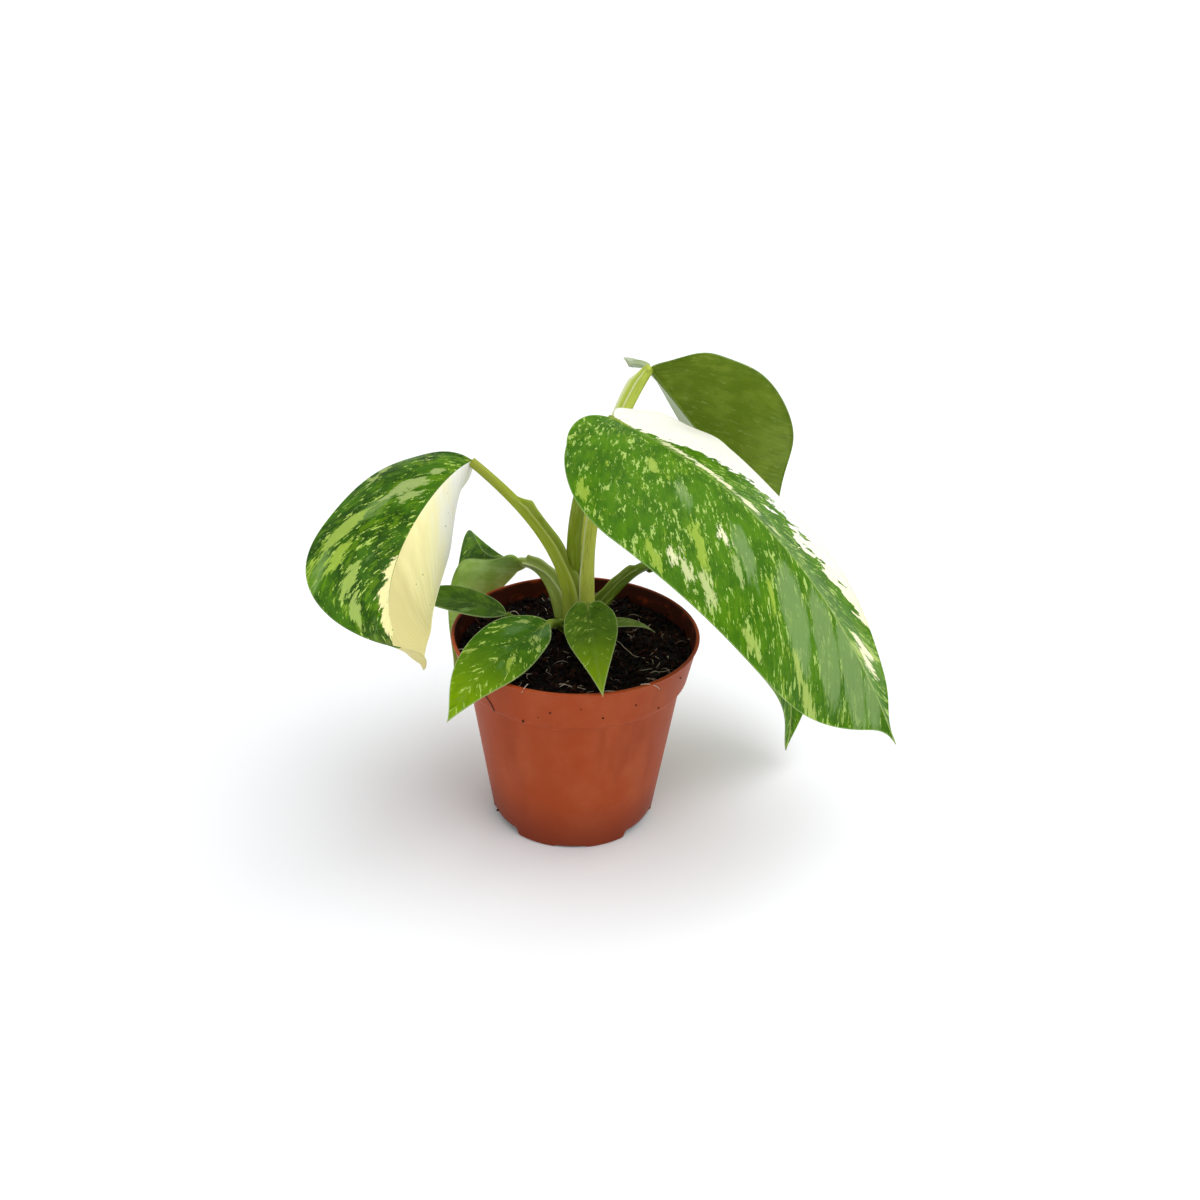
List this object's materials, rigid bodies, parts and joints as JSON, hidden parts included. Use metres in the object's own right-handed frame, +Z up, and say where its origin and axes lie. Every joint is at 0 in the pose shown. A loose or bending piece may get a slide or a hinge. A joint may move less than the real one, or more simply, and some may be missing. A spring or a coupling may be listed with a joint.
{
  "type": "potted philodendron plant",
  "caption": "Young variegated philodendron: large drooping heart-shaped leaves on arching sheathed petioles over smaller leaves, in a round tapered plastic nursery pot filled with soil.",
  "frame": {"origin": "centre of the flat underside of the pot, on the floor", "axes": "+Z up from the floor, +X to the right of the picture along the plant's longest spread, +Y away from the camera"},
  "size_m": [0.2749, 0.2113, 0.2289],
  "materials": {
    "pot_plastic": "satin",
    "potting_soil": "matte",
    "stem_tissue": "satin",
    "leaf_tissue": "satin",
    "cataphyll_tissue": "satin"
  },
  "bodies": {
    "root": {"pot": "pot_plastic", "soil": "potting_soil", "stem": "stem_tissue", "leaf_left": "leaf_tissue", "leaf_right": "leaf_tissue", "leaf_back": "leaf_tissue", "leaf_low_right": "leaf_tissue", "leaf_rear_left": "leaf_tissue", "leaf_narrow_left": "leaf_tissue", "leaf_front_left": "leaf_tissue", "leaf_front": "leaf_tissue", "cataphyll": "cataphyll_tissue"}
  },
  "joints": []
}
